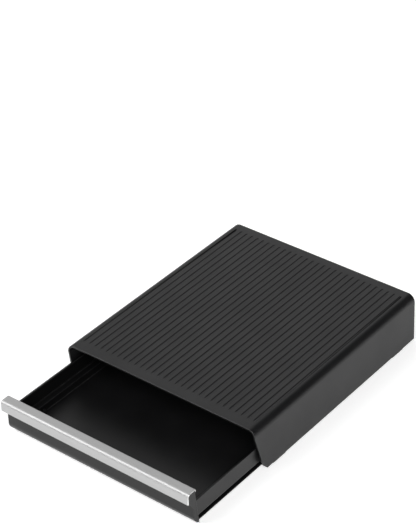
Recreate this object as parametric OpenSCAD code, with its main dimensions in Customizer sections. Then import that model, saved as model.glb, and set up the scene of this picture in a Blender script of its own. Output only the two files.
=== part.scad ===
// Coffee pod drawer: a ribbed stand with a drawer that slides out at the front.
// +Y runs from the front to the rear, +Z up, and the object stands on z = 0.

/* [Cover] */
// Width of the cover at its bottom edge
cover_w = 279; // [250:1:320]
// Length of the cover from its front edge to its rear edge
cover_len = 318; // [290:1:360]
// Height of the top face above the surface it stands on
cover_h = 60; // [59:0.5:75]
// Wall thickness of the cover
cover_wall = 2.5; // [2:0.1:3]
// Outward lean of the side walls in degrees
side_lean = 6; // [4:0.5:7]
// Radius of the two long top corners
top_corner_r = 10; // [7:0.5:13]
// How far the front edge of a side sets back on its way down to its rounded corner
side_setback = 8.5; // [6:0.5:10]
// How far the base and the rails set back from the cover's front edge
base_setback = 16; // [14:0.5:18]
// Radius of the lower front corner of a side
side_corner_r = 12.5; // [12:0.5:20]
// Height above the base at which that corner starts
side_corner_h = 12; // [10:0.5:16]
// Height of the upright toe below that corner
toe_h = 3; // [2:0.5:4]
// How far the rear edge of a side sets forward on its way down
side_rear_set = 5.5; // [2:0.5:8]
// Thickness of the foot flange along the bottom of each side
flange_t = 3; // [2.5:0.1:3.5]

/* [Top grooves] */
// Distance between two grooves
groove_pitch = 8.4; // [7:0.1:10]
// Width of one groove
groove_w = 3; // [2:0.1:4]
// Depth of one groove
groove_d = 0.6; // [0.5:0.1:1.2]
// Plain margin in front of the grooves
groove_front = 13; // [10:1:30]
// Plain margin behind the grooves
groove_rear = 11; // [6:1:20]
// Plain margin between the outer grooves and the rounded corners
groove_side = 1; // [0.5:0.5:14]

/* [Stiffening ribs] */
// Number of ribs under the top
rib_count = 6; // [4:1:8]
// Thickness of a rib
rib_t = 2; // [1.5:0.1:2.5]
// Depth of a rib below the top wall
rib_d = 3.5; // [2:0.5:4.5]

/* [Rear panel] */
// Thickness of the rear panel
panel_t = 2.2; // [2:0.1:3]
// Inset of the rear panel from the lower rear edge of the sides
panel_inset = 0.4; // [0.2:0.1:2]
// Height of the rear panel's lower edge above the surface
panel_lift = 3; // [2.5:0.5:5]
// Clearance around the rear panel
panel_gap = 0.2; // [0.1:0.1:0.5]
// Distance of the upper panel screws from the middle
boss_x = 90; // [60:1:110]
// Width of a boss for an upper panel screw
boss_w = 9; // [8:0.5:12]
// Length of a boss for an upper panel screw
boss_len = 12; // [9:0.5:16]

/* [Drawer] */
// Distance that the drawer stands open
drawer_open = 98; // [60:1:120]
// Travel from the drawn position to the outer stop
travel_out = 124; // [90:1:130]
// How far the lower front edge of the closed drawer sits behind the cover's front edge
closed_inset = 1.5; // [0:0.1:2.5]
// Wall thickness of the tray
tray_wall = 2.3; // [2:0.1:2.8]
// Floor thickness of the tray
tray_floor = 2.5; // [2:0.1:3]
// Height of the tray's underside above the surface
ride_h = 1.5; // [1.2:0.1:2]
// Height of the tray's side walls above the surface
side_wall_h = 33; // [28:0.5:38]
// Gap between the top of a tray wall and the cover
side_gap = 1.6; // [1.5:0.1:2.5]
// Depth of the runner channel under each side wall
channel_d = 8.2; // [7.5:0.1:10]

/* [Front wall] */
// How much wider the front wall is than the tray, on each side
front_over = 0.8; // [0.4:0.1:1]
// How far the front face stands forward of its lower edge
front_reach = 8; // [6:0.5:9]
// Radius of the front face's rounded lower edge
hull_r = 14; // [12:0.5:18]
// Thickness of the front wall
front_t = 2.8; // [2.4:0.1:3.2]
// Reach of the handle strip forward of the lower front edge
nose_reach = 17.3; // [16.5:0.1:20]
// Height of the handle strip's top above the surface
front_top = 50.3; // [46:0.1:53]
// Wall thickness of the nose that carries the strip
nose_t = 1.8; // [1.5:0.1:2]
// Outer radius of the nose
nose_r = 2.8; // [2:0.1:3.5]
// Thickness of the end plates of the nose
end_plate_t = 2.5; // [2:0.1:3]
// Drop of the end plates' gusset below the lip, down the front face
end_plate_drop = 12; // [6:0.5:14]
// How far the end plates reach behind the lower front edge
end_plate_foot = 1; // [0.5:0.1:2]

/* [Handle strip] */
// Height of the strip's front face
strip_h = 14; // [12:0.5:16]
// Sheet thickness of the strip
strip_t = 1.2; // [0.8:0.1:1.5]
// Length of the strip's rear edge, turned down behind the front wall
strip_turn = 3.4; // [2.5:0.1:5]
// Thickness of the adhesive tape behind the strip
tape_t = 0.4; // [0.3:0.05:0.6]
// Plain margin above and below the tape
tape_margin = 0.8; // [0.5:0.1:2]
// Gap between the strip and the nose where there is no tape
strip_gap = 0.3; // [0.2:0.05:0.4]

/* [Rails and runners] */
// Thickness of the rail's tongue
tongue_t = 3.5; // [3:0.1:4]
// Gap between the tongue and the runner's upper flange that rests on it
run_gap = 0.3; // [0.2:0.05:0.4]
// Thickness of the runner's upper flange
runner_top_t = 2.5; // [2:0.1:3]
// Thickness of the runner's lower flange
runner_low_t = 1.8; // [1.5:0.1:2]
// Thickness of the runner's web
runner_web_t = 1.6; // [1.4:0.1:2]
// Inset of the runner from the tray wall's outer face
runner_inset = 1.5; // [1.2:0.1:2]
// Gap between the tongue and the runner's web
tongue_gap = 0.7; // [0.5:0.1:1]
// Gap between the runner's front end and the front wall
runner_end_gap = 0.2; // [0.1:0.1:1]
// Gap between the runner and the cover's flange
flange_gap = 1; // [0.6:0.1:1.2]
// Gap between the rail and the cover's side wall
rail_gap = 0.2; // [0.1:0.05:0.3]
// Length of the front stop on each rail
stop_len = 10; // [6:1:16]
// Height of the front stop above the surface
stop_top = 24; // [20:0.5:26]
// Gap between the front stop and the tray wall that passes it
stop_gap = 0.5; // [0.4:0.05:0.6]

/* [Catches] */
// Length of a catch along the drawer
catch_len = 16; // [14:1:24]
// Height of a catch
catch_h = 8; // [7:0.5:9]
// Thickness of a catch
catch_t = 1.9; // [1.6:0.1:2]
// Distance between the two pins of a catch
catch_pin_pitch = 8; // [6:0.5:9]
// Radius of a catch pin
catch_pin_r = 1.5; // [1:0.1:1.8]
// Radius of the head inside the tray
catch_head_r = 2.6; // [2.4:0.1:3]
// Thickness of the head inside the tray
catch_head_t = 1.2; // [1:0.1:1.5]
// Gap between a catch and the front stop with the drawer fully out
catch_gap = 0.3; // [0.2:0.1:0.5]

/* [Feet and bumpers] */
// Height of a foot, which lifts the cover off the surface
foot_h = 2; // [1.8:0.1:2.4]
// Length of a foot
foot_len = 26; // [22:1:34]
// Width of a foot
foot_w = 6; // [5:0.2:6.4]
// Distance from the cover's end to the middle of a foot
foot_inset = 40; // [36:1:46]
// Radius of a foot's pegs
foot_peg_r = 1.2; // [1:0.1:1.4]
// Distance between a foot's two pegs
foot_peg_pitch = 16; // [12:1:18]
// Flange left above a foot's pegs
foot_peg_skin = 1; // [0.8:0.1:1.2]
// Thickness of a bumper's pad
bumper_t = 2; // [1.5:0.1:2.5]
// Radius of a bumper's pad
bumper_r = 6; // [4:0.5:8]
// Distance of a bumper from the middle
bumper_x = 80; // [50:1:100]
// Height of a bumper's middle above the surface
bumper_z = 20; // [14:0.5:24]
// Gap between the bumpers and the closed drawer
bumper_gap = 0.2; // [0.1:0.05:0.3]
// Radius of a bumper's stem
bumper_stem_r = 2; // [1.5:0.1:2.5]
// How far a bumper's rear flange reaches past its stem, and the flange's thickness
bumper_flange = 1; // [0.8:0.1:1.2]

/* [Screws and rivets] */
// Clearance around a screw, rivet or peg in its hole
hole_gap = 0.05; // [0.03:0.01:0.1]
// Radius of a screw's thread
screw_r = 1.1; // [0.9:0.1:1.2]
// Radius of a screw's head
screw_head_r = 1.9; // [1.6:0.1:2]
// Thickness of a screw's head
screw_head_t = 1.4; // [1.2:0.1:1.6]
// Depth of a panel screw in the piece that it bites into
screw_bite = 5; // [4:0.1:5.4]
// Depth of a panel screw's hole beyond the screw's tip
screw_spare = 3; // [1:0.5:3.5]
// Wall left between a rail screw and the rail's top
rail_skin = 0.8; // [0.6:0.1:1.5]
// Distance between two rail screws
rail_screw_pitch = 90; // [70:1:95]
// Radius of a rivet
rivet_r = 1.2; // [1:0.1:1.4]
// Radius of a rivet's heads
rivet_head_r = 2; // [1.8:0.1:2.2]
// Thickness of a rivet's heads
rivet_head_t = 0.9; // [0.7:0.1:1]
// Distance between two rivets along a runner
rivet_pitch = 115; // [90:1:120]

/* [Hidden] */

LEFT = -1;
RIGHT = 1;
SIDES = [LEFT, RIGHT];
arc_steps = 10;
round_fn = 32;
// How far joined solids sink into each other, and how far a cut runs past a face
eps = 0.01;
over = 1;

// Places along Y. The whole object, strip to rear edge, is centred on y = 0.
total_len = nose_reach + drawer_open + cover_len;
front_y = nose_reach - total_len / 2;
cover_y = front_y + drawer_open;
cover_rear_y = cover_y + cover_len;
side_rear_y = cover_rear_y - side_rear_set;
panel_rear_y = side_rear_y - panel_inset;
panel_front_y = panel_rear_y - panel_t;
rail_y0 = cover_y + base_setback;
rail_y1 = panel_front_y - panel_gap;
rail_len = rail_y1 - rail_y0;
screw_hole = screw_bite + screw_spare;
travel_in = drawer_open + closed_inset;
tray_rear_y = panel_front_y - bumper_t - bumper_gap - travel_in;
stop_rear_y = rail_y0 + stop_len;
catch_y = stop_rear_y + travel_out + catch_gap;
catch_mid_y = catch_y + catch_len / 2;

// Half widths of the cover's outer and inner faces at a height
function cover_outer(z) = cover_w / 2 - (z - foot_h) * tan(side_lean);
function cover_inner(z) = cover_outer(z) - cover_wall / cos(side_lean);

// Heights
top_under = cover_h - cover_wall;
corner_z = cover_h - top_corner_r;
rail_z = foot_h + flange_t;
tongue_top = rail_z + tongue_t;
shelf_z = tongue_top + run_gap + runner_top_t;
shelf_top = shelf_z + tray_floor;
rail_top = shelf_z - stop_gap;
floor_z = ride_h + tray_floor;
nose_top = front_top - strip_t - strip_gap;
nose_y = nose_reach - strip_t - tape_t;
strip_low = front_top - strip_h;
lip_z = strip_low + strip_t;
hook_z = nose_top - nose_t;
hull_z = ride_h + sqrt(hull_r * hull_r - pow(hull_r - front_reach, 2));
hull_end = 180 + acos((hull_r - front_reach) / hull_r);
front_back = front_reach - front_t;
// Rounded lower edge of the front, from its underside up to the upright face
front_hull = arc(hull_r - front_reach, hull_z, hull_r, hull_end, 180);
inner_r = hull_z - floor_z;
catch_z = (shelf_top + stop_top) / 2;
boss_z = top_under - boss_w / 2;
rail_bite = rail_top - rail_z - rail_skin;
rail_mid_z = (rail_z + rail_top) / 2;
rail_mid_y = (rail_y0 + rail_y1) / 2;
runner_y0 = front_y + end_plate_foot + runner_end_gap;
runner_mid_y = (runner_y0 + tray_rear_y) / 2;
rivet_z = floor_z + rivet_head_r + 2 * hole_gap;

// Half widths and counts across the width
corner_x = cover_outer(corner_z) - top_corner_r / cos(side_lean);
tray_hw = cover_inner(side_wall_h) - side_gap;
channel_hw = tray_hw - channel_d;
runner_hw = tray_hw - runner_inset;
web_hw = channel_hw + runner_web_t;
flange_hw = runner_hw + flange_gap;
front_hw = tray_hw + front_over;
groove_hw = corner_x - groove_side - groove_w / 2;
groove_count = 2 * floor((groove_hw / groove_pitch) + 0.5);
rib_pitch = 2 * corner_x / rib_count;
foot_x = (flange_hw + cover_w / 2) / 2;
rail_in = flange_hw + rail_gap;
rail_screw_x = (rail_in + cover_inner(rail_top) - rail_gap) / 2;

// Points of an arc about (x, y), from angle a0 to angle a1
function arc(x, y, r, a0, a1) =
    [for (i = [0:arc_steps]) let (a = a0 + (a1 - a0) * i / arc_steps) [x + r * cos(a), y + r * sin(a)]];

// Points of the arc of radius r from p to q, which bulges to the right of the way from p to q
function arc_between(p, q, r) = let (
        d = q - p, c = (p + q) / 2 + [-d[1], d[0]] * sqrt(pow(r / norm(d), 2) - 0.25), u = p - c, v = q - c
    ) arc(c[0], c[1], r, atan2(u[1], u[0]), atan2(v[1], v[0]));

// Extrudes an outline drawn in X and Z along Y, from y0 over a length
module along_y(y0, length) {
    translate([0, y0 + length, 0]) rotate([90, 0, 0]) linear_extrude(length) children();
}

// Extrudes an outline drawn in Y and Z along X, from x0 over a width
module along_x(x0, width) {
    translate([x0, 0, 0]) rotate([90, 0, 90]) linear_extrude(width) children();
}

// A box from its lowest corner to its highest corner
module block(low, high) {
    translate(low) cube(high - low);
}

// A cylinder along X, from x0 over a length towards the given side
module pin_x(side, x0, y, z, r, length) {
    translate([side * x0, y, z]) rotate([0, side * 90, 0]) cylinder(r = r, h = length, $fn = round_fn);
}

// A cylinder along Y, from y0 over a length
module pin_y(x, y0, z, r, length) {
    translate([x, y0, z]) rotate([-90, 0, 0]) cylinder(r = r, h = length, $fn = round_fn);
}

// A cylinder along Z, from z0 over a length
module pin_z(x, y, z0, r, length) {
    translate([x, y, z0]) cylinder(r = r, h = length, $fn = round_fn);
}

// Mirrors its child onto one side of the middle
module on_side(side) {
    flip = side == LEFT ? 1 : 0;
    mirror([flip, 0, 0]) children();
}

// ---- Cover ----

// Cross-section of the cover, moved in from its outer face by an inset
module cover_section(inset, low) {
    in_x = inset / cos(side_lean);
    polygon(concat(
        [[-cover_outer(low) + in_x, low], [cover_outer(low) - in_x, low]],
        arc(corner_x, corner_z, top_corner_r - inset, side_lean, 90),
        arc(-corner_x, corner_z, top_corner_r - inset, 90, 180 - side_lean)
    ));
}

// Outline of a side wall seen along X
module side_outline() {
    polygon(concat(
        [[cover_y, cover_h], [cover_y, corner_z]],
        arc_between([cover_y + side_setback, foot_h + side_corner_h],
            [rail_y0, foot_h + toe_h], side_corner_r),
        [[rail_y0, foot_h], [side_rear_y, foot_h], [cover_rear_y, corner_z], [cover_rear_y, cover_h]]
    ));
}

module grooves() {
    groove_r = (pow(groove_w / 2, 2) + pow(groove_d, 2)) / (2 * groove_d);
    length = cover_len - groove_front - groove_rear;
    for (i = [0:groove_count - 1])
        pin_y((i - (groove_count - 1) / 2) * groove_pitch, cover_y + groove_front,
            cover_h - groove_d + groove_r, groove_r, length);
}

module housing_cover() {
    peg_y = [for (end = [cover_y + foot_inset, cover_rear_y - foot_inset]) for (s = SIDES)
        end + s * foot_peg_pitch / 2];
    color("#2b2b2d") difference() {
        intersection() {
            union() {
                difference() {
                    along_y(cover_y, cover_len) cover_section(0, foot_h);
                    along_y(cover_y - over, cover_len + 2 * over) cover_section(cover_wall, foot_h - over);
                }
                // Foot flange along the bottom of each side
                for (side = SIDES) on_side(side) along_y(rail_y0, rail_len) polygon([
                    [flange_hw, foot_h], [cover_inner(foot_h) + eps, foot_h],
                    [cover_inner(rail_z) + eps, rail_z], [flange_hw, rail_z]]);
                // Stiffening ribs under the top
                for (i = [0:rib_count - 1]) {
                    x = (i - (rib_count - 1) / 2) * rib_pitch;
                    block([x - rib_t / 2, cover_y + groove_front, top_under - rib_d],
                        [x + rib_t / 2, rail_y1, top_under + eps]);
                }
                // Bosses for the upper screws of the rear panel
                for (side = SIDES)
                    block([side * boss_x - boss_w / 2, rail_y1 - boss_len, top_under - boss_w],
                        [side * boss_x + boss_w / 2, rail_y1, top_under + eps]);
            }
            along_x(-cover_w, 2 * cover_w) side_outline();
        }
        grooves();
        for (side = SIDES) {
            // Countersunk holes for the rail screws
            for (i = [-1:1]) {
                y = rail_mid_y + i * rail_screw_pitch;
                pin_z(side * rail_screw_x, y, foot_h - over, screw_r + hole_gap, flange_t + 2 * over);
                pin_z(side * rail_screw_x, y, foot_h - over, screw_head_r + hole_gap, over + screw_head_t);
            }
            // Blind holes for the pegs of the feet
            for (y = peg_y)
                pin_z(side * foot_x, y, foot_h - over, foot_peg_r + hole_gap,
                    over + flange_t - foot_peg_skin);
            pin_y(side * boss_x, rail_y1 - screw_hole, boss_z, screw_r + hole_gap, screw_hole + over);
        }
    }
}

// ---- Rear panel ----

module panel_hole(x, z, r) {
    pin_y(x, panel_front_y - over, z, r + hole_gap, panel_t + 2 * over);
}

module rear_panel() {
    color("#1d1d1f") difference() {
        along_y(panel_front_y, panel_t) cover_section(cover_wall + panel_gap, panel_lift);
        for (side = SIDES) {
            panel_hole(side * boss_x, boss_z, screw_r);
            panel_hole(side * rail_screw_x, rail_mid_z, screw_r);
            panel_hole(side * bumper_x, bumper_z, bumper_stem_r);
        }
    }
}

module panel_screw(x, z) {
    pin_y(x, panel_rear_y, z, screw_head_r, screw_head_t);
    pin_y(x, rail_y1 - screw_bite, z, screw_r, screw_bite + panel_gap + panel_t);
}

module rear_panel_screws() {
    color("silver") for (side = SIDES) {
        panel_screw(side * boss_x, boss_z);
        panel_screw(side * rail_screw_x, rail_mid_z);
    }
}

// ---- Rails inside the cover ----

module rail() {
    difference() {
        union() {
            along_y(rail_y0, rail_len) polygon([
                [web_hw + tongue_gap, rail_z], [cover_inner(rail_z) - rail_gap, rail_z],
                [cover_inner(rail_top) - rail_gap, rail_top], [rail_in, rail_top],
                [rail_in, tongue_top], [web_hw + tongue_gap, tongue_top]]);
            // Front stop, which stands between the tray wall and the cover
            along_y(rail_y0, stop_len) polygon([
                [tray_hw + stop_gap, rail_top - eps], [cover_inner(rail_top) - rail_gap, rail_top - eps],
                [cover_inner(stop_top) - rail_gap, stop_top], [tray_hw + stop_gap, stop_top]]);
        }
        for (i = [-1:1])
            pin_z(rail_screw_x, rail_mid_y + i * rail_screw_pitch, rail_z - over,
                screw_r + hole_gap, over + rail_bite);
        pin_y(rail_screw_x, rail_y1 - screw_hole, rail_mid_z, screw_r + hole_gap, screw_hole + over);
    }
}

module rail_left() {
    color("#3a3a3c") on_side(LEFT) rail();
}

module rail_right() {
    color("#3a3a3c") on_side(RIGHT) rail();
}

module rail_screws() {
    color("silver") for (side = SIDES) for (i = [-1:1]) {
        y = rail_mid_y + i * rail_screw_pitch;
        pin_z(side * rail_screw_x, y, foot_h, screw_head_r, screw_head_t);
        pin_z(side * rail_screw_x, y, foot_h + screw_head_t, screw_r,
            flange_t - screw_head_t + rail_bite - hole_gap);
    }
}

// ---- Feet ----

module foot(side, y) {
    half = (foot_len - foot_w) / 2;
    color("#111111") translate([side * foot_x, y, 0]) {
        translate([-foot_w / 2, -half, 0]) cube([foot_w, 2 * half, foot_h]);
        for (s = SIDES) translate([0, s * half, 0]) cylinder(r = foot_w / 2, h = foot_h, $fn = round_fn);
        for (s = SIDES) translate([0, s * foot_peg_pitch / 2, 0])
            cylinder(r = foot_peg_r, h = rail_z - foot_peg_skin - hole_gap, $fn = round_fn);
    }
}

module foot_front_left() { foot(LEFT, cover_y + foot_inset); }
module foot_front_right() { foot(RIGHT, cover_y + foot_inset); }
module foot_rear_left() { foot(LEFT, cover_rear_y - foot_inset); }
module foot_rear_right() { foot(RIGHT, cover_rear_y - foot_inset); }

// ---- Bumpers ----

module bumper(side) {
    x = side * bumper_x;
    color("#151515") {
        pin_y(x, panel_front_y - bumper_t, bumper_z, bumper_r, bumper_t);
        pin_y(x, panel_front_y, bumper_z, bumper_stem_r, panel_t);
        pin_y(x, panel_rear_y, bumper_z, bumper_stem_r + bumper_flange, bumper_flange);
    }
}

module bumper_left() { bumper(LEFT); }
module bumper_right() { bumper(RIGHT); }

// ---- Drawer ----

// Front wall seen along X: rounded lower edge, upright face, and a nose that hooks forward
module front_wall_outline() {
    translate([front_y, 0]) polygon(concat(
        [[hull_r - front_reach, ride_h]],
        front_hull,
        [[-front_reach, hook_z], [-nose_y + nose_t, hook_z], [-nose_y + nose_t, lip_z], [-nose_y, lip_z]],
        arc(-nose_y + nose_r, nose_top - nose_r, nose_r, 180, 90),
        [[-front_back, nose_top]],
        arc(inner_r - front_back, hull_z, inner_r, 180, 270),
        [[hull_r - front_reach, floor_z]]
    ));
}

// Low wall beside the floor, seen along X, with the front's rounded lower edge
module low_wall_outline() {
    length = tray_rear_y - front_y;
    translate([front_y, 0]) intersection() {
        polygon(concat([[length, ride_h]], front_hull, [[-front_reach, front_top], [length, front_top]]));
        translate([-front_reach, ride_h]) square([front_reach + length, shelf_top - ride_h]);
    }
}

// End plate seen along X: it closes the nose, the front's lower edge and the channel beside the floor
module end_plate_outline() {
    translate([front_y, 0]) polygon(concat(
        front_hull,
        [[-front_reach, lip_z - end_plate_drop], [-nose_y, lip_z]],
        arc(-nose_y + nose_r, nose_top - nose_r, nose_r, 180, 90),
        [[-front_back, nose_top], [end_plate_foot, ride_h]]
    ));
}

module drawer_tray() {
    side_y0 = front_y - front_back - eps;
    floor_y0 = front_y + hull_r - front_reach - eps;
    color("#4a4a4c") difference() {
        union() {
            along_x(-front_hw, 2 * front_hw) front_wall_outline();
            block([-channel_hw, floor_y0, ride_h], [channel_hw, tray_rear_y, floor_z]);
            block([-channel_hw, tray_rear_y - tray_wall, ride_h], [channel_hw, tray_rear_y, side_wall_h]);
            for (side = SIDES) on_side(side) {
                along_x(front_hw - end_plate_t, end_plate_t) end_plate_outline();
                // Low wall beside the floor, shelf over the runner, and the side wall
                along_x(channel_hw - tray_wall, tray_wall) low_wall_outline();
                block([channel_hw - tray_wall, side_y0, shelf_z], [tray_hw, tray_rear_y, shelf_top]);
                block([tray_hw - tray_wall, side_y0, shelf_z], [tray_hw, tray_rear_y, side_wall_h]);
                block([channel_hw - tray_wall, tray_rear_y - tray_wall, shelf_z],
                    [tray_hw, tray_rear_y, side_wall_h]);
            }
        }
        for (side = SIDES) {
            // Room for the runner's front end
            on_side(side) block([channel_hw, front_y + end_plate_foot, ride_h - over],
                [front_hw + over, front_y + hull_r, shelf_z - eps]);
            for (i = [-1:1])
                pin_x(side, channel_hw - tray_wall - over, runner_mid_y + i * rivet_pitch, rivet_z,
                    rivet_r + hole_gap, tray_wall + 2 * over);
            for (s = SIDES)
                pin_x(side, tray_hw - tray_wall - over, catch_mid_y + s * catch_pin_pitch / 2, catch_z,
                    catch_pin_r + hole_gap, tray_wall + 2 * over);
        }
    }
}

// Bent sheet over the nose: front face, rounded top edge, top and a short turned-down rear edge
module handle_strip() {
    outer_r = nose_r + strip_t + tape_t;
    rear_r = strip_t + strip_gap;
    rear = -front_back + strip_gap + strip_t;
    color("#c9c9cb") translate([0, front_y, 0]) along_x(-front_hw, 2 * front_hw) polygon(concat(
        [[-nose_reach + strip_t, strip_low], [-nose_reach, strip_low]],
        arc(-nose_reach + outer_r, front_top - outer_r, outer_r, 180, 90),
        arc(rear - rear_r, front_top - rear_r, rear_r, 90, 0),
        [[rear, front_top - strip_turn], [rear - strip_t, front_top - strip_turn]],
        arc(rear - rear_r, front_top - rear_r, rear_r - strip_t, 0, 90),
        arc(-nose_reach + outer_r, front_top - outer_r, outer_r - strip_t, 90, 180)
    ));
}

module strip_tape() {
    color("#8f8f90") block([-front_hw + end_plate_t, front_y - nose_y - tape_t, lip_z + tape_margin],
        [front_hw - end_plate_t, front_y - nose_y, nose_top - nose_r - tape_margin]);
}

// Runner: a channel that opens outwards, hung under the shelf
module runner() {
    length = tray_rear_y - runner_y0;
    difference() {
        along_y(runner_y0, length) polygon([
            [channel_hw, ride_h], [runner_hw, ride_h], [runner_hw, ride_h + runner_low_t],
            [web_hw, ride_h + runner_low_t], [web_hw, tongue_top + run_gap],
            [runner_hw, tongue_top + run_gap], [runner_hw, shelf_z], [channel_hw, shelf_z]]);
        for (i = [-1:1]) {
            y = runner_mid_y + i * rivet_pitch;
            pin_x(RIGHT, channel_hw - over, y, rivet_z, rivet_r + hole_gap, runner_web_t + 2 * over);
            pin_x(RIGHT, web_hw - rivet_head_t, y, rivet_z, rivet_head_r + hole_gap, rivet_head_t + over);
        }
    }
}

module runner_left() {
    color("#101011") on_side(LEFT) runner();
}

module runner_right() {
    color("#101011") on_side(RIGHT) runner();
}

module runner_rivets() {
    color("#202022") for (side = SIDES) for (i = [-1:1]) {
        y = runner_mid_y + i * rivet_pitch;
        inside = channel_hw - tray_wall;
        pin_x(side, inside - rivet_head_t, y, rivet_z, rivet_head_r, rivet_head_t);
        pin_x(side, inside, y, rivet_z, rivet_r, tray_wall + runner_web_t - rivet_head_t);
        pin_x(side, web_hw - rivet_head_t, y, rivet_z, rivet_head_r, rivet_head_t);
    }
}

module catch(side) {
    inside = tray_hw - tray_wall;
    on_side(side)
        block([tray_hw, catch_y, catch_z - catch_h / 2],
            [tray_hw + catch_t, catch_y + catch_len, catch_z + catch_h / 2]);
    for (s = SIDES) {
        y = catch_mid_y + s * catch_pin_pitch / 2;
        pin_x(side, inside, y, catch_z, catch_pin_r, tray_wall + eps);
        pin_x(side, inside - catch_head_t, y, catch_z, catch_head_r, catch_head_t);
    }
}

module catch_left() {
    color("#2f2f31") catch(LEFT);
}

module catch_right() {
    color("#2f2f31") catch(RIGHT);
}

housing_cover();
rear_panel();
rear_panel_screws();
rail_left();
rail_right();
rail_screws();
foot_front_left();
foot_front_right();
foot_rear_left();
foot_rear_right();
bumper_left();
bumper_right();
drawer_tray();
handle_strip();
strip_tape();
runner_left();
runner_right();
runner_rivets();
catch_left();
catch_right();
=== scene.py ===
"""Looks, light and camera of a coffee pod drawer: a ribbed stand with a drawer that slides out in front.

+X is right, +Y runs to the rear and +Z up. Lengths are in metres.
"""

import math

import bmesh
import bpy
from mathutils import Matrix, Vector

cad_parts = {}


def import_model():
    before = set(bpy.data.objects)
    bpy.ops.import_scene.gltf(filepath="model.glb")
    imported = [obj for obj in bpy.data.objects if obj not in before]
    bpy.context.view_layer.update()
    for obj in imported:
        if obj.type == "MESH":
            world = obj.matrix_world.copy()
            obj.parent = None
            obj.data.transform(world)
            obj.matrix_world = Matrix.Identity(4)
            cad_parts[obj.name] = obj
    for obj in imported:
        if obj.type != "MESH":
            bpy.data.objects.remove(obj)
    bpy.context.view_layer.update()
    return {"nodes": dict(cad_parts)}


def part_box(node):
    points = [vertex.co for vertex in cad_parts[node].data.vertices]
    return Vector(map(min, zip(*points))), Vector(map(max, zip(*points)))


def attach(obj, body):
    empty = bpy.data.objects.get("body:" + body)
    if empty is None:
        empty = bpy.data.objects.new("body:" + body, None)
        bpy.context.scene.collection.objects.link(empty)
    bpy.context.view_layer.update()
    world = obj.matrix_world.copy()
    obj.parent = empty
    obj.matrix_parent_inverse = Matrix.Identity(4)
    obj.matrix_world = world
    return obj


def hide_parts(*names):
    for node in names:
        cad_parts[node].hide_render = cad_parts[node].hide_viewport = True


MM = 0.001
SIDES = {"left": -1, "right": 1}

# Camera: where it looks from, in degrees, and what it aims at
CAMERA_AZIMUTH = 38.48
CAMERA_ELEVATION = 34.24
CAMERA_ROLL = -1.16
CAMERA_TARGET = Vector((-0.16198, 0.19612, 0.0))
CAMERA_DISTANCE = 2.4272
CAMERA_LENS = 130.98
CAMERA_SENSOR = 36.0

# Softened edges: how far each piece's edges are rounded, and which edges count
COVER_EDGE = 0.6 * MM
PANEL_EDGE = 0.4 * MM
TRAY_EDGE = 0.5 * MM
TAPE_EDGE = 0.08 * MM
RAIL_EDGE = 0.4 * MM
RUNNER_EDGE = 0.25 * MM
CATCH_EDGE = 0.4 * MM
BUMPER_EDGE = 0.3 * MM
FOOT_EDGE = 0.35 * MM
SHORTEST_EDGE = 2 * MM
SHORTEST_COVER_EDGE = 0.9 * MM
SHORTEST_PAD_EDGE = 0.3 * MM
EDGE_STEPS = 2
ROUND_PROFILE = 0.5
SHARP_ANGLE = math.radians(40)
SMOOTH_ANGLE = math.radians(50)
FLAT_ANGLE = math.radians(0.5)
WELD = 0.001 * MM
NEAR = 0.01 * MM
LEVEL = 0.9999

# Grooves in the top: how many, their size, and how they start, end and fade out
GROOVE_COUNT = 30
GROOVE_PITCH = 8.4 * MM
GROOVE_DEPTH = 0.6 * MM
GROOVE_HALF = 1.5 * MM
GROOVE_RIM = 0.45 * MM
GROOVE_TIP = 0.2
GROOVE_FRONT = 13 * MM
GROOVE_REAR = 11 * MM
GROOVE_FADE_FRONT = 5 * MM
GROOVE_FADE_REAR = 3 * MM
FADE_STEPS = 7
RIM_STEPS = 4
HOLLOW_STEPS = 5
GROOVE_MARGIN = 1 * MM
GROOVE_CLEAR = 0.1 * MM
TOP_DEPTH = 2 * MM

# Handle strip: its sheet, the outer radii of its bends, how far its rear turns down, its soft edges
STRIP_SHEET = 1.2 * MM
STRIP_NOSE = 4.4 * MM
STRIP_REAR_R = 1.5 * MM
STRIP_TURN = 3.4 * MM
STRIP_EDGE = 0.55 * MM
STRIP_END_R = 0.54 * MM
STRIP_INNER_SHARE = 0.1
STRIP_END_STEPS = 7
STRIP_ARC_STEPS = 18

# Floor: its size and finish, how much it glows near and far, and where that changes
FLOOR_REACH = 30.0
FLOOR_COLOR = (0.75, 0.75, 0.75, 1.0)
FLOOR_ROUGH = 0.9
FLOOR_GLOW = 0.5
FLOOR_GLOW_FAR = 1.0
FLOOR_NEAR = 1.5
FLOOR_FAR = 6.0

# Room: how bright it is at the horizon and above, and the height at which that changes
ROOM_HORIZON = 0.7
ROOM_ABOVE = 0.08
ROOM_CHANGE = 0.12
WHITE = (1.0, 1.0, 1.0, 1.0)

# Screws and rivets, with angles in radians
SCREW_HEAD_R = 1.9 * MM
SCREW_HEAD_T = 1.4 * MM
SCREW_DOME_T = 0.55 * MM
SCREW_DOME_TURN = 1.25
SCREW_SEAT_SHARE = 0.97
SCREW_SEAT_EDGE = 0.08 * MM
SCREW_R = 1.1 * MM
RECESS_DEPTH = 1.0 * MM
RECESS_ARM = 1.05 * MM
RECESS_HALF = 0.24 * MM
RECESS_ABOVE = 0.4 * MM
RECESS_TAPER = 0.5
BOSS_SCREW_X = 90 * MM
BOSS_SCREW_TURN = 1.1
CORNER_SCREW_TURN = 0.3
RAIL_SCREW_TURN = 0.7
RIVET_HEAD_R = 2.0 * MM
RIVET_HEAD_T = 0.9 * MM
RIVET_RIM = 0.45
RIVET_R = 1.2 * MM
RIVET_INSIDE = 120.7 * MM
DOME_STEPS = 8
ROUND_STEPS = 40

# Noise: its average, and the parts of its range that are spread out
NOISE_MEAN = 0.5
NOISE_INNER = (0.35, 0.65)
NOISE_MIDDLE = (0.3, 0.7)
NOISE_WIDE = (0.25, 0.75)

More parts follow.
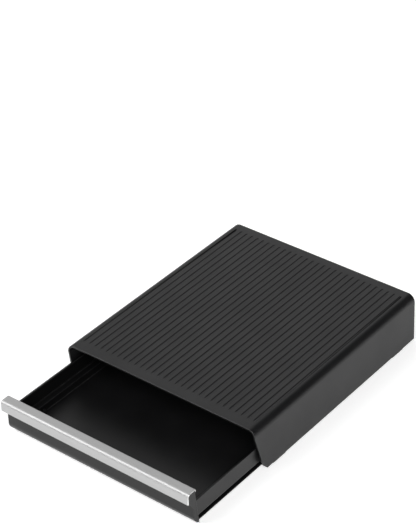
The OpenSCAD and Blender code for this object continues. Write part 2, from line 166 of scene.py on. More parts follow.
# Plastic: patterns in repeats per metre, and how much they change colour and gloss
CLOUD = {"scale": 22.0, "detail": 4.0, "rough": 0.55}
GRAIN = {"detail": 3.0, "rough": 0.6}
GRAIN_SPREAD = 0.1
CLOUD_GLOSS = 0.04
WEAR = {"scale": 140.0, "detail": 3.0}
WEAR_LEAST = 0.35
WORN_COLOR = (0.5, 0.5, 0.5, 1.0)
WORN_GLOSS = 1.5

# Brushed metal: its lines, as stretches along X, Y and Z, and how much they change gloss; then the painted
# highlight on rounded edges and how much smoother those edges are
FINE_LINES = (12.0, 4200.0, 4200.0)
BROAD_LINES = (3.0, 700.0, 700.0)
FINE_ROUGH = 0.6
FINE_SHARE = 0.65
LINE_GLOSS = 0.06
PAINTED_EDGE_HIGHLIGHT = (0.95, 0.95, 0.95, 1.0)
BRIGHT_GLOSS = 0.08


# ---- Meshes ----


def mesh_of_node(node):
    """A bmesh of a CAD node with its flat faces joined."""
    bm = bmesh.new()
    bm.from_mesh(frame["nodes"][node].data)
    bmesh.ops.remove_doubles(bm, verts=bm.verts, dist=WELD)
    bmesh.ops.dissolve_limit(bm, angle_limit=FLAT_ANGLE, verts=bm.verts, edges=bm.edges)
    return bm


def edge_layer(bm):
    """The layer that holds how far a vertex lies on a rounded edge, from 0 to 1."""
    return bm.verts.layers.float.get("edge") or bm.verts.layers.float.new("edge")


def sharp_edges(bm, shortest):
    """Edges sharper than SHARP_ANGLE and longer than the shortest length."""
    return [e for e in bm.edges
            if len(e.link_faces) == 2 and e.calc_face_angle(0) > SHARP_ANGLE and e.calc_length() > shortest]


def round_edges(bm, edges, radius):
    """Rounds edges and marks the middle of each rounding as edge."""
    layer = edge_layer(bm)
    made = bmesh.ops.bevel(bm, geom=edges, offset=radius, segments=EDGE_STEPS, profile=ROUND_PROFILE,
                           affect="EDGES", clamp_overlap=False)
    faces = set(made["faces"])
    for vert in {v for f in faces for v in f.verts}:
        if all(f in faces for f in vert.link_faces):
            vert[layer] = 1.0


def piece(name, bm, body, node, material, flat=()):
    """Turns a bmesh into a shown piece that stands for a CAD node. The flat faces aren't shaded smooth."""
    edge_layer(bm)
    bmesh.ops.recalc_face_normals(bm, faces=bm.faces)
    for face in bm.faces:
        face.smooth = face not in flat
    mesh = bpy.data.meshes.new(name)
    bm.to_mesh(mesh)
    bm.free()
    mesh.set_sharp_from_angle(angle=SMOOTH_ANGLE)
    mesh.materials.append(material)
    obj = bpy.data.objects.new(name, mesh)
    bpy.context.scene.collection.objects.link(obj)
    normals = obj.modifiers.new("flat faces stay flat", "WEIGHTED_NORMAL")
    normals.keep_sharp = True
    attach(obj, body)
    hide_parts(node)


def softened(name, node, body, material, radius, shortest=SHORTEST_EDGE):
    """A CAD node with its longer edges rounded."""
    bm = mesh_of_node(node)
    round_edges(bm, sharp_edges(bm, shortest), radius)
    piece(name, bm, body, node, material)


def along(start, end, steps):
    """Even steps from start to end."""
    return [start + (end - start) * i / steps for i in range(steps + 1)]


def lathe(bm, profile, place):
    """Turns a profile of (radius, height) about Z, closes it and puts it where the matrix says."""
    rings = []
    for radius, height in profile:
        ring = []
        for i in range(ROUND_STEPS):
            a = 2 * math.pi * i / ROUND_STEPS
            ring.append(bm.verts.new(place @ Vector((radius * math.cos(a), radius * math.sin(a), height))))
        rings.append(ring)
    for low, high in zip(rings, rings[1:]):
        for i in range(ROUND_STEPS):
            j = (i + 1) % ROUND_STEPS
            bm.faces.new((low[i], low[j], high[j], high[i]))
    bm.faces.new(rings[0][::-1])
    bm.faces.new(rings[-1])


# ---- Shader groups ----


def new_group(name, inputs, outputs):
    """An empty node group with named sockets."""
    tree = bpy.data.node_groups.new(name, "ShaderNodeTree")
    for label, kind in inputs:
        tree.interface.new_socket(name=label, in_out="INPUT", socket_type="NodeSocket" + kind)
    for label, kind in outputs:
        tree.interface.new_socket(name=label, in_out="OUTPUT", socket_type="NodeSocket" + kind)
    return tree, tree.nodes.new("NodeGroupInput").outputs, tree.nodes.new("NodeGroupOutput").inputs


def connect(tree, value, socket):
    """Links an output to an input, or sets a plain value."""
    if isinstance(value, bpy.types.NodeSocket):
        tree.links.new(value, socket)
    else:
        socket.default_value = value


def maths(tree, operation, *values):
    """A Math node."""
    node = tree.nodes.new("ShaderNodeMath")
    node.operation = operation
    for value, socket in zip(values, node.inputs):
        connect(tree, value, socket)
    return node.outputs[0]


def remap(tree, value, low, high, to_low, to_high):
    """Carries a value from one range over to another."""
    node = tree.nodes.new("ShaderNodeMapRange")
    for label, x in (("Value", value), ("From Min", low), ("From Max", high),
                     ("To Min", to_low), ("To Max", to_high)):
        connect(tree, x, node.inputs[label])
    return node.outputs["Result"]


def noise(tree, vector, scale, detail=2.0, rough=0.5):
    """A noise pattern from 0 to 1."""
    node = tree.nodes.new("ShaderNodeTexNoise")
    for label, x in (("Vector", vector), ("Scale", scale), ("Detail", detail), ("Roughness", rough)):
        connect(tree, x, node.inputs[label])
    return node.outputs["Fac"]


def mixed(tree, factor, a, b):
    """A blend of two colours."""
    node = tree.nodes.new("ShaderNodeMix")
    node.data_type = "RGBA"
    colors = [socket for socket in node.inputs if socket.type == "RGBA"]
    connect(tree, factor, node.inputs["Factor"])
    connect(tree, a, colors[0])
    connect(tree, b, colors[1])
    return next(socket for socket in node.outputs if socket.type == "RGBA")


def scaled(tree, color, factor):
    """A colour made lighter or darker."""
    node = tree.nodes.new("ShaderNodeVectorMath")
    node.operation = "SCALE"
    connect(tree, color, node.inputs[0])
    connect(tree, factor, node.inputs["Scale"])
    return node.outputs[0]


def stretched(tree, scale=(1.0, 1.0, 1.0)):
    """Object coordinates scaled along each axis."""
    place = tree.nodes.new("ShaderNodeTexCoord")
    mapping = tree.nodes.new("ShaderNodeMapping")
    tree.links.new(place.outputs["Object"], mapping.inputs["Vector"])
    mapping.inputs["Scale"].default_value = scale
    return mapping.outputs["Vector"]


def edge_mask(tree):
    """How far the surface lies on a rounded edge, broken up as use breaks it up. Plastics lighten it as
    wear; brushed sheet paints a highlight on it.
    """
    attribute = tree.nodes.new("ShaderNodeAttribute")
    attribute.attribute_name = "edge"
    broken = remap(tree, noise(tree, stretched(tree), **WEAR), *NOISE_INNER, WEAR_LEAST, 1.0)
    return maths(tree, "MULTIPLY", attribute.outputs["Fac"], broken)


def moulded_group():
    """Moulded plastic: fine grain, faint cloudy colour and gloss, and lighter, smoother edges."""
    tree, given, made = new_group(
        "moulded plastic",
        [("Color", "Color"), ("Cloud", "Float"), ("Roughness", "Float"), ("Grain Size", "Float"),
         ("Edge Light", "Float")],
        [("Color", "Color"), ("Roughness", "Float"), ("Height", "Float")])
    plain = stretched(tree)
    cloud = noise(tree, plain, **CLOUD)
    grain = noise(tree, plain, maths(tree, "DIVIDE", 1.0, given["Grain Size"]), **GRAIN)
    speck = remap(tree, grain, *NOISE_WIDE, 1 - GRAIN_SPREAD, 1 + GRAIN_SPREAD)
    around = maths(tree, "SUBTRACT", cloud, NOISE_MEAN)
    patches = maths(tree, "MULTIPLY_ADD", around, given["Cloud"], 1.0)
    shade = scaled(tree, given["Color"], maths(tree, "MULTIPLY", speck, patches))
    edge = maths(tree, "MULTIPLY", edge_mask(tree), given["Edge Light"])
    connect(tree, mixed(tree, edge, shade, WORN_COLOR), made["Color"])
    gloss = maths(tree, "ADD", given["Roughness"],
                  remap(tree, cloud, *NOISE_MIDDLE, -CLOUD_GLOSS, CLOUD_GLOSS))
    worn = maths(tree, "MULTIPLY", edge, WORN_GLOSS)
    connect(tree, maths(tree, "SUBTRACT", gloss, worn), made["Roughness"])
    connect(tree, grain, made["Height"])
    return tree


def brushed_group():
    """Brushed sheet: fine lines along X in colour, gloss and height, and a painted highlight on its rounded
    edges.
    """
    tree, given, made = new_group(
        "brushed sheet",
        [("Color", "Color"), ("Roughness", "Float"), ("Contrast", "Float"), ("Edge Light", "Float")],
        [("Color", "Color"), ("Roughness", "Float"), ("Height", "Float")])
    fine = noise(tree, stretched(tree, FINE_LINES), scale=1.0, rough=FINE_ROUGH)
    broad = noise(tree, stretched(tree, BROAD_LINES), scale=1.0)
    lines = maths(tree, "ADD", maths(tree, "MULTIPLY", fine, FINE_SHARE),
                  maths(tree, "MULTIPLY", broad, 1 - FINE_SHARE))
    around = maths(tree, "SUBTRACT", lines, NOISE_MEAN)
    level = maths(tree, "MULTIPLY_ADD", around, given["Contrast"], 1.0)
    edge = edge_mask(tree)
    # Painted highlight: rounded edges blend toward a near-white colour
    bright = maths(tree, "MULTIPLY", edge, given["Edge Light"])
    connect(tree, mixed(tree, bright, scaled(tree, given["Color"], level), PAINTED_EDGE_HIGHLIGHT), made["Color"])
    gloss = maths(tree, "ADD", given["Roughness"],
                  remap(tree, lines, *NOISE_MIDDLE, -LINE_GLOSS, LINE_GLOSS))
    polished = maths(tree, "MULTIPLY", edge, BRIGHT_GLOSS)
    connect(tree, maths(tree, "SUBTRACT", gloss, polished), made["Roughness"])
    connect(tree, lines, made["Height"])
    return tree


# ---- Materials ----


def new_material(name, group, values, bump, metallic=0.0, bump_depth=0.02 * MM, specular=0.5):
    """A Principled material whose colour, roughness and bump come from a group."""
    material = bpy.data.materials.new(name)
    material.use_nodes = True
    tree = material.node_tree
    shader = tree.nodes["Principled BSDF"]
    shader.inputs["Metallic"].default_value = metallic
    shader.inputs["Specular IOR Level"].default_value = specular
    effect = tree.nodes.new("ShaderNodeGroup")
    effect.node_tree = group
    for label, value in values.items():
        effect.inputs[label].default_value = value
    relief = tree.nodes.new("ShaderNodeBump")
    relief.inputs["Strength"].default_value = bump
    relief.inputs["Distance"].default_value = bump_depth
    tree.links.new(effect.outputs["Color"], shader.inputs["Base Color"])
    tree.links.new(effect.outputs["Roughness"], shader.inputs["Roughness"])
    tree.links.new(effect.outputs["Height"], relief.inputs["Height"])
    tree.links.new(relief.outputs["Normal"], shader.inputs["Normal"])
    return material


def cover_plastic():
    """Matt black plastic with a fine grain."""
    return new_material("cover plastic", MOULDED, {
        "Color": (0.005, 0.005, 0.0055, 1.0), "Cloud": 0.35, "Roughness": 0.41,
        "Grain Size": 0.9 * MM, "Edge Light": 0.1}, bump=0.35, specular=0.41)


def panel_plastic():
    """Matt black plastic, duller and a little coarser than the cover's."""
    return new_material("panel plastic", MOULDED, {
        "Color": (0.013, 0.013, 0.014, 1.0), "Cloud": 0.4, "Roughness": 0.5,
        "Grain Size": 1.1 * MM, "Edge Light": 0.08}, bump=0.4)


def tray_plastic():
    """Black plastic with the cover's grain, but less shine; its colour is the cover's made a little darker,
    as painted shade.
    """
    return new_material("tray plastic", MOULDED, {
        "Color": (0.004, 0.004, 0.0043, 1.0), "Cloud": 0.35, "Roughness": 0.41,
        "Grain Size": 0.9 * MM, "Edge Light": 0.1}, bump=0.35, specular=0.34)


def rail_plastic():
    """Smooth dark plastic."""
    return new_material("rail plastic", MOULDED, {
        "Color": (0.02, 0.02, 0.021, 1.0), "Cloud": 0.3, "Roughness": 0.35,
        "Grain Size": 2.0 * MM, "Edge Light": 0.12}, bump=0.15)


def runner_plastic():
    """Dull black plastic with almost no shine."""
    return new_material("runner plastic", MOULDED, {
        "Color": (0.004, 0.004, 0.0044, 1.0), "Cloud": 0.3, "Roughness": 0.65,
        "Grain Size": 2.0 * MM, "Edge Light": 0.04}, bump=0.15, specular=0.1)


def catch_plastic():
    """Smooth dark plastic, a little duller than the rails'."""
    return new_material("catch plastic", MOULDED, {
        "Color": (0.02, 0.02, 0.021, 1.0), "Cloud": 0.3, "Roughness": 0.38,
        "Grain Size": 1.6 * MM, "Edge Light": 0.12}, bump=0.15)


def rivet_plastic():
    """Smooth black plastic."""
    return new_material("rivet plastic", MOULDED, {
        "Color": (0.012, 0.012, 0.013, 1.0), "Cloud": 0.3, "Roughness": 0.33,
        "Grain Size": 1.2 * MM, "Edge Light": 0.1}, bump=0.15)


def rubber():
    """Matt rubber with a fine, cloudy surface."""
    return new_material("rubber", MOULDED, {
        "Color": (0.011, 0.011, 0.011, 1.0), "Cloud": 0.6, "Roughness": 0.75,
        "Grain Size": 0.5 * MM, "Edge Light": 0.08}, bump=0.5, specular=0.3)


def foam_tape():
    """Grey foam with a coarse surface."""
    return new_material("foam tape", MOULDED, {
        "Color": (0.25, 0.25, 0.25, 1.0), "Cloud": 0.5, "Roughness": 0.85,
        "Grain Size": 0.4 * MM, "Edge Light": 0.0}, bump=0.8, specular=0.2)


def strip_metal():
    """Steel sheet, brushed along its length, with a painted highlight on its rounded edges."""
    return new_material("strip metal", BRUSHED, {
        "Color": (0.485, 0.485, 0.485, 1.0), "Roughness": 0.46, "Contrast": 0.3, "Edge Light": 0.8},
        bump=0.25, bump_depth=0.01 * MM, metallic=1.0)


def screw_steel():
    """Plated steel, smoother and a little warmer than the strip."""
    return new_material("screw steel", BRUSHED, {
        "Color": (0.52, 0.51, 0.48, 1.0), "Roughness": 0.28, "Contrast": 0.25, "Edge Light": 0.3},
        bump=0.1, bump_depth=0.01 * MM, metallic=1.0)


# ---- Cover and rear panel ----


def groove_section(radius):
    """A groove's cross-section with rounded rims, as (distance from its middle, depth) from rim to rim."""
    centre = radius - GROOVE_DEPTH
    rim_x = math.sqrt((radius + GROOVE_RIM) ** 2 - (centre + GROOVE_RIM) ** 2)
    meet = math.atan2(rim_x, centre + GROOVE_RIM)
    half = [(rim_x - GROOVE_RIM * math.sin(a), GROOVE_RIM * (1 - math.cos(a)))
            for a in along(0, meet, RIM_STEPS)]
    half += [(radius * math.sin(a), radius * math.cos(a) - centre)
             for a in along(meet, 0, HOLLOW_STEPS)[1:]]
    return [(-x, depth) for x, depth in half] + half[-2::-1]


def groove_rows(y0, y1):
    """Places along the grooves and how deep the grooves are there, from 0 to 1."""
    ease = [(t, t * t * (3 - 2 * t)) for t in along(0, 1, FADE_STEPS)]
    front = [(y0 + t * GROOVE_FADE_FRONT, fade) for t, fade in ease]
    rear = [(y1 - t * GROOVE_FADE_REAR, fade) for t, fade in reversed(ease)]
    return [(y0 - GROOVE_MARGIN, 0.0)] + front + rear + [(y1 + GROOVE_MARGIN, 0.0)]


def grooved_sheet(bm, top, y0, y1):
    """The grooved part of the top as a grid of vertices, row by row from the front."""
    radius = (GROOVE_HALF ** 2 + GROOVE_DEPTH ** 2) / (2 * GROOVE_DEPTH)
    section = groove_section(radius)
    rows = []
    for y, fade in groove_rows(y0, y1):
        half = math.sqrt(radius ** 2 - (radius - fade * GROOVE_DEPTH) ** 2)
        narrow = max(GROOVE_TIP, half / GROOVE_HALF)
        rows.append([bm.verts.new(((i - (GROOVE_COUNT - 1) / 2) * GROOVE_PITCH + x * narrow, y,
                                   top - depth * fade))
                     for i in range(GROOVE_COUNT) for x, depth in section])
    for near, far in zip(rows, rows[1:]):
        for i in range(len(near) - 1):
            bm.faces.new((near[i], near[i + 1], far[i + 1], far[i]))
    return rows


def zipped(bm, first, second, axis):
    """Triangles between two parallel rows of vertices, both in order along an axis."""
    faces, i, j = [], 0, 0
    while i < len(first) - 1 or j < len(second) - 1:
        if j == len(second) - 1 or (i < len(first) - 1 and first[i + 1].co[axis] <= second[j + 1].co[axis]):
            faces.append(bm.faces.new((first[i], first[i + 1], second[j])))
            i += 1
        else:
            faces.append(bm.faces.new((first[i], second[j + 1], second[j])))
            j += 1
    return faces


def groove_reach():
    """How far from the middle the outermost groove's rim lies."""
    return (GROOVE_COUNT - 1) / 2 * GROOVE_PITCH + GROOVE_HALF


def regroove(bm):
    """Replaces the flat top and its square-ended grooves by grooves with soft rims that fade out.

    Returns the flat faces round them.
    """
    low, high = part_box("housing_cover")
    y0, y1 = low.y + GROOVE_FRONT, high.y - GROOVE_REAR
    floor_z = high.z - GROOVE_DEPTH - GROOVE_CLEAR
    old = []
    for face in bm.faces:
        at = face.calc_center_median()
        flat = face.normal.z > LEVEL and abs(at.z - high.z) < NEAR
        grooved = (abs(at.x) < groove_reach() and y0 - GROOVE_MARGIN < at.y < y1 + GROOVE_MARGIN
                   and at.z > floor_z)
        if flat or grooved:
            old.append(face)
    bmesh.ops.delete(bm, geom=old, context="FACES")
    rim = {v for e in bm.edges if len(e.link_faces) == 1 for v in e.verts}
    sheet = grooved_sheet(bm, high.z, y0, y1)
    x_end, front, rear = (max(v.co.x for v in rim), min(v.co.y for v in rim), max(v.co.y for v in rim))

    def side_of(axis, value):
        """The opening's vertices on one of its sides, in order."""
        return sorted((v for v in rim if abs(v.co[axis] - value) < NEAR), key=lambda v: v.co[1 - axis])

    return (zipped(bm, side_of(1, front), sheet[0], 0) + zipped(bm, side_of(1, rear), sheet[-1], 0)
            + zipped(bm, side_of(0, -x_end), [row[0] for row in sheet], 1)
            + zipped(bm, side_of(0, x_end), [row[-1] for row in sheet], 1))


def cover(material):
    """The cover with its edges rounded, apart from those of the grooves, which are made anew.

    They are made in a copy, because rounding leaves gaps in a mesh that new faces fill in another order
    each run.
    """
    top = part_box("housing_cover")[1].z
    bm = mesh_of_node("housing_cover")
    reach = groove_reach() + GROOVE_CLEAR
    edges = [e for e in sharp_edges(bm, SHORTEST_COVER_EDGE)
             if not all(abs(v.co.x) < reach and v.co.z > top - TOP_DEPTH for v in e.verts)]
    round_edges(bm, edges, COVER_EDGE)
    shell = bm.copy()
    bm.free()
    piece("cover", shell, "housing", "housing_cover", material, regroove(shell))


def rear_panel(material):
    """The plain plate that closes the cover's back."""
    softened("back_panel", "rear_panel", "housing", material, PANEL_EDGE)


# ---- Screws and rivets ----


def cross_cutter(bm):
    """A tapered cross that leaves a screw's recess."""
    corners = ((-1, -1), (1, -1), (1, 1), (-1, 1))
    for half_x, half_y in ((RECESS_ARM, RECESS_HALF), (RECESS_HALF, RECESS_ARM)):
        top = [bm.verts.new((x * half_x, y * half_y, RECESS_ABOVE)) for x, y in corners]
        low = [bm.verts.new((x * half_x * RECESS_TAPER, y * half_y * RECESS_TAPER, -RECESS_DEPTH))
               for x, y in corners]
        for i in range(len(corners)):
            j = (i + 1) % len(corners)
            bm.faces.new((low[i], low[j], top[j], top[i]))
        bm.faces.new(low[::-1])
        bm.faces.new(top)


def screw_profile(shank):
    """Half of a pan-head screw's outline as (radius, height), from its tip up to its head's top at 0."""
    rise = 1 - math.cos(SCREW_DOME_TURN)
    dome = [(SCREW_HEAD_R * math.sin(a), -SCREW_DOME_T * (1 - math.cos(a)) / rise)
            for a in along(SCREW_DOME_TURN, 0, DOME_STEPS)[:-1]]
    scale = SCREW_HEAD_R / dome[0][0]
    return [(SCREW_R, -SCREW_HEAD_T - shank), (SCREW_R, -SCREW_HEAD_T),
            (SCREW_HEAD_R * SCREW_SEAT_SHARE, -SCREW_HEAD_T),
            (SCREW_HEAD_R, -SCREW_HEAD_T + SCREW_SEAT_EDGE)] + [(r * scale, z) for r, z in dome]


def screw_mesh(shank):
    """A pan-head screw with a cross recess. Its head's top is at z = 0 and points up."""
    head = bmesh.new()
    lathe(head, screw_profile(shank), Matrix.Identity(4))
    cutter = bmesh.new()
    cross_cutter(cutter)
    solids = []
    for name, bm in (("screw blank", head), ("screw recess", cutter)):
        bmesh.ops.recalc_face_normals(bm, faces=bm.faces)
        mesh = bpy.data.meshes.new(name)
        bm.to_mesh(mesh)
        bm.free()
        solids.append(bpy.data.objects.new(name, mesh))
        bpy.context.scene.collection.objects.link(solids[-1])
    cut = solids[0].modifiers.new("recess", "BOOLEAN")
    cut.object = solids[1]
    cut.operation = "DIFFERENCE"
    cut.solver = "EXACT"
    cut.use_self = True
    bpy.context.view_layer.update()
    made = bpy.data.meshes.new_from_object(solids[0].evaluated_get(bpy.context.evaluated_depsgraph_get()))
    for solid in solids:
        bpy.data.objects.remove(solid)
    return made


def screws(name, node, body, material, places, up, shank):
    """Screws whose heads face the way up says. Each place is the middle of a head's top and its turn."""
    one = screw_mesh(shank)
    bm = bmesh.new()
    for place, turn in places:
        before = len(bm.verts)
        bm.from_mesh(one)
        bm.verts.ensure_lookup_table()
        facing = up.to_track_quat("Z", "Y").to_matrix().to_4x4()
        matrix = Matrix.Translation(place) @ facing @ Matrix.Rotation(turn, 4, "Z")
        bmesh.ops.transform(bm, matrix=matrix, verts=bm.verts[before:])
    piece(name, bm, body, node, material)


def panel_screws(material):
    """Four screws through the rear panel: two into the rails, two into bosses under the top."""
    low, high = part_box("rear_panel_screws")
    inset = SCREW_HEAD_R
    rail_z, boss_z = low.z + inset, high.z - inset
    places = []
    for side in SIDES.values():
        places.append((Vector((side * (high.x - inset), high.y, rail_z)), CORNER_SCREW_TURN + side))
        places.append((Vector((side * BOSS_SCREW_X, high.y, boss_z)), BOSS_SCREW_TURN - side))
    screws("panel_screws", "rear_panel_screws", "housing", material, places,
           Vector((0, 1, 0)), high.y - low.y - SCREW_HEAD_T)


def rail_screws(material):
    """Six screws up through the foot flange into the rails."""
    low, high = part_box("rail_screws")
    middle = (low.y + high.y) / 2
    pitch = high.y - SCREW_HEAD_R - middle
    across = high.x - SCREW_HEAD_R
    places = [(Vector((side * across, middle + i * pitch, low.z)), RAIL_SCREW_TURN * i + side)
              for side in SIDES.values() for i in (-1, 0, 1)]
    screws("slide_screws", "rail_screws", "housing", material, places,
           Vector((0, 0, -1)), high.z - low.z - SCREW_HEAD_T)


def rivets(material):
    """Domed rivets through the low walls and the runners' webs."""
    low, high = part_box("runner_rivets")
    middle_y, z = (low.y + high.y) / 2, (low.z + high.z) / 2
    pitch = high.y - RIVET_HEAD_R - middle_y
    length = high.x - RIVET_INSIDE
    dome = [(RIVET_HEAD_R * math.sin(a), RIVET_HEAD_T * (RIVET_RIM + (1 - RIVET_RIM) * math.cos(a)))
            for a in along(math.pi / 2, 0, DOME_STEPS)[:-1]]
    profile = [(r, -h) for r, h in reversed(dome)] + [(RIVET_HEAD_R, 0.0), (RIVET_R, 0.0)]
    profile = [(r, h + RIVET_HEAD_T) for r, h in profile]
    profile += [(RIVET_R, length - RIVET_HEAD_T), (RIVET_HEAD_R, length - RIVET_HEAD_T)]
    profile += [(r, length - RIVET_HEAD_T + h) for r, h in dome]
    bm = bmesh.new()
    for side in SIDES.values():
        for i in (-1, 0, 1):
            facing = Vector((side, 0, 0)).to_track_quat("Z", "Y").to_matrix().to_4x4()
            place = Matrix.Translation((side * RIVET_INSIDE, middle_y + i * pitch, z)) @ facing
            lathe(bm, profile, place)
    piece("rivets", bm, "drawer", "runner_rivets", material)


# ---- Handle strip ----


def strip_section():
    """Outline of the bent sheet seen along X, as (y, z) points in order, without its softened corners."""
    low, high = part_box("handle_strip")

    def arc(y, z, r, a0, a1):
        """Points on an arc round (y, z), between two angles in degrees."""
        turns = [math.radians(a) for a in along(a0, a1, STRIP_ARC_STEPS)]
        return [(y + r * math.cos(a), z + r * math.sin(a)) for a in turns]

    nose = (low.y + STRIP_NOSE, high.z - STRIP_NOSE)
    rear = (high.y - STRIP_REAR_R, high.z - STRIP_REAR_R)
    tip = STRIP_EDGE
    return (arc(low.y + tip, low.z + tip, tip, 270, 180)
            + arc(*nose, STRIP_NOSE, 180, 90)
            + arc(*rear, STRIP_REAR_R, 90, 0)
            + arc(high.y - tip, high.z - STRIP_TURN + tip, tip, 0, -90)
            + arc(high.y - STRIP_SHEET + tip, high.z - STRIP_TURN + tip, tip, 270, 180)
            + arc(*rear, STRIP_REAR_R - STRIP_SHEET, 0, 90)
            + arc(*nose, STRIP_NOSE - STRIP_SHEET, 90, 180)
            + arc(low.y + STRIP_SHEET - tip, low.z + tip, tip, 0, -90))


def inset_section(points, inset):
    """The strip's outline with its outer side moved in, and its inner side only a share as far."""
    moved = []
    for i, (y, z) in enumerate(points):
        ay, az = points[i - 1]
        by, bz = points[(i + 1) % len(points)]
        ty, tz = by - ay, bz - az
        step = inset / math.hypot(ty, tz) * (1.0 if i < len(points) / 2 else STRIP_INNER_SHARE)
        moved.append((y + step * tz, z - step * ty))
    return moved


def handle_strip(material):
    """The bent sheet, with the outer edge of both its ends rounded over."""
    low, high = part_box("handle_strip")
    section = strip_section()
    bm = bmesh.new()
    layer = edge_layer(bm)
    ends = [(STRIP_END_R * (1 - math.sin(a)), STRIP_END_R * (1 - math.cos(a)))
            for a in along(0, math.pi / 2, STRIP_END_STEPS)]
    rows = [(low.x + x, inset) for x, inset in reversed(ends)] + [(high.x - x, inset) for x, inset in ends]
    rings = []
    for x, inset in rows:
        ring = [bm.verts.new((x, y, z)) for y, z in inset_section(section, inset)]
        # The rounded-over ends are marked as edge, where the sheet's material paints a highlight
        for vert in ring:
            vert[layer] = 1.0 if inset > 0 else 0.0
        rings.append(ring)
    for first, second in zip(rings, rings[1:]):
        for i in range(len(first)):
            j = (i + 1) % len(first)
            bm.faces.new((first[i], first[j], second[j], second[i]))
    bm.faces.new(rings[0])
    bm.faces.new(rings[-1][::-1])
    piece("handle", bm, "drawer", "handle_strip", material)


# ---- Tray, tape, rails, runners, catches, bumpers and feet ----


def tray(material):
    """The drawer's one moulding: floor, walls and hooked front."""
    softened("tray", "drawer_tray", "drawer", material, TRAY_EDGE)


def tape(material):
    """The foam tape that holds the strip to the front."""
    softened("tape", "strip_tape", "drawer", material, TAPE_EDGE)


def rail(end, material):
    """A guide rail inside the cover."""
    softened("rail_" + end + "_slide", "rail_" + end, "housing", material, RAIL_EDGE)


def runner(end, material):
    """A runner under the tray's side wall."""
    softened("runner_" + end + "_slide", "runner_" + end, "drawer", material,
             RUNNER_EDGE)


def catch(end, material):
    """The block on the tray's side wall that stops the drawer from coming out."""
    softened("catch_" + end + "_block", "catch_" + end, "drawer", material, CATCH_EDGE)


def bumper(end, material):
    """The pad on the rear panel that the closing drawer meets."""
    softened("bumper_" + end + "_pad", "bumper_" + end, "housing", material, BUMPER_EDGE,
             SHORTEST_PAD_EDGE)


def foot(row, end, material):
    """A pad that the cover stands on."""
    softened("foot_" + row + "_" + end + "_pad", "foot_" + row + "_" + end, "housing", material,
             FOOT_EDGE, SHORTEST_PAD_EDGE)


# ---- Room, light and camera ----


def floor():
    """A plain pale floor that looks white and keeps the shadow. It glows more where the lamps reach less."""
    mesh = bpy.data.meshes.new("floor")
    corners = ((-1, -1), (1, -1), (1, 1), (-1, 1))
    mesh.from_pydata([(x * FLOOR_REACH, y * FLOOR_REACH, 0) for x, y in corners], [], [(0, 1, 2, 3)])
    obj = bpy.data.objects.new("floor", mesh)
    bpy.context.scene.collection.objects.link(obj)
    material = bpy.data.materials.new("floor")
    material.use_nodes = True
    tree = material.node_tree
    shader = tree.nodes["Principled BSDF"]
    shader.inputs["Base Color"].default_value = FLOOR_COLOR
    shader.inputs["Roughness"].default_value = FLOOR_ROUGH
    shader.inputs["Specular IOR Level"].default_value = 0.0
    shader.inputs["Emission Color"].default_value = WHITE
    path = tree.nodes.new("ShaderNodeLightPath")
    seen = maths(tree, "MAXIMUM", path.outputs["Is Camera Ray"], path.outputs["Is Glossy Ray"])
    seen = maths(tree, "MAXIMUM", seen, path.outputs["Is Transmission Ray"])
    away = tree.nodes.new("ShaderNodeVectorMath")
    away.operation = "LENGTH"
    connect(tree, stretched(tree), away.inputs[0])
    glow = remap(tree, away.outputs["Value"], FLOOR_NEAR, FLOOR_FAR, FLOOR_GLOW, FLOOR_GLOW_FAR)
    connect(tree, maths(tree, "MULTIPLY", seen, glow), shader.inputs["Emission Strength"])
    mesh.materials.append(material)


def world():
    """Dim above and bright near the horizon, as round a table in a white room. The camera sees it white."""
    made = bpy.data.worlds.new("studio")
    bpy.context.scene.world = made
    made.use_nodes = True
    tree = made.node_tree
    place = tree.nodes.new("ShaderNodeTexCoord")
    split = tree.nodes.new("ShaderNodeSeparateXYZ")
    connect(tree, place.outputs["Generated"], split.inputs[0])
    path = tree.nodes.new("ShaderNodeLightPath")
    around = remap(tree, split.outputs["Z"], 0.0, ROOM_CHANGE, ROOM_HORIZON, ROOM_ABOVE)
    back = tree.nodes["Background"].inputs
    back["Color"].default_value = WHITE
    connect(tree, maths(tree, "MAXIMUM", around, path.outputs["Is Camera Ray"]), back["Strength"])


def lamp(name, toward, distance, size, strength):
    """A soft square lamp in the direction toward, shining at the object. strength is how bright it looks."""
    data = bpy.data.lights.new(name, "AREA")
    data.shape = "SQUARE"
    data.size = size
    data.energy = strength * math.pi * size ** 2
    obj = bpy.data.objects.new(name, data)
    bpy.context.scene.collection.objects.link(obj)
    obj.location = Vector(toward).normalized() * distance
    obj.rotation_mode = "QUATERNION"
    obj.rotation_quaternion = (-obj.location).to_track_quat("-Z", "Y")


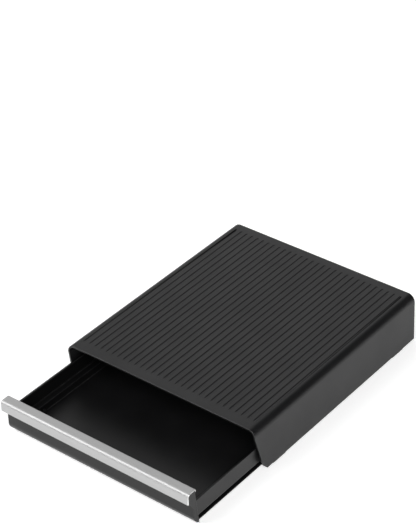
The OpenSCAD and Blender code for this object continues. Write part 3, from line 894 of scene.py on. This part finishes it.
def lamps():
    """Four soft lamps.

    The strip's bend mirrors the key and the overhead one, and the top mirrors the rear left one. The
    right one lights the sides.
    """
    lamp("key", toward=(-0.52, -0.60, 0.62), distance=5.5, size=4.0, strength=3.2)
    lamp("overhead", toward=(-0.51, 0.10, 0.85), distance=6.0, size=3.5, strength=0.86)
    lamp("rear left", toward=(-0.48, 0.65, 0.62), distance=6.0, size=4.6, strength=0.88)
    lamp("right", toward=(0.55, -0.55, 0.66), distance=6.0, size=3.2, strength=8.5)


def camera():
    """The camera, turned a little about its own axis."""
    data = bpy.data.cameras.new("camera")
    data.lens = CAMERA_LENS
    data.sensor_width = CAMERA_SENSOR
    data.sensor_fit = "AUTO"
    a, e, roll = (math.radians(x) for x in (CAMERA_AZIMUTH, CAMERA_ELEVATION, CAMERA_ROLL))
    back = Vector((math.sin(a) * math.cos(e), -math.cos(a) * math.cos(e), math.sin(e)))
    right = Vector((0, 0, 1)).cross(back).normalized()
    up = back.cross(right)
    turned = math.cos(roll) * right + math.sin(roll) * up
    upright = math.cos(roll) * up - math.sin(roll) * right
    obj = bpy.data.objects.new("camera", data)
    bpy.context.scene.collection.objects.link(obj)
    matrix = Matrix((turned, upright, back)).transposed().to_4x4()
    matrix.translation = CAMERA_TARGET + back * CAMERA_DISTANCE
    obj.matrix_world = matrix
    bpy.context.scene.camera = obj


# ---- The whole scene ----

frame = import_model()

MOULDED = moulded_group()
BRUSHED = brushed_group()

runner_material = runner_plastic()
rail_material = rail_plastic()
pad_material = rubber()
catch_material = catch_plastic()
steel = screw_steel()

cover(cover_plastic())
rear_panel(panel_plastic())
panel_screws(steel)
rail_screws(steel)
tray(tray_plastic())
handle_strip(strip_metal())
tape(foam_tape())
rivets(rivet_plastic())
for end in SIDES:
    rail(end, rail_material)
    runner(end, runner_material)
    catch(end, catch_material)
    bumper(end, pad_material)
    for row in ("front", "rear"):
        foot(row, end, pad_material)

floor()
world()
lamps()
camera()
bpy.context.scene.view_settings.view_transform = "Standard"
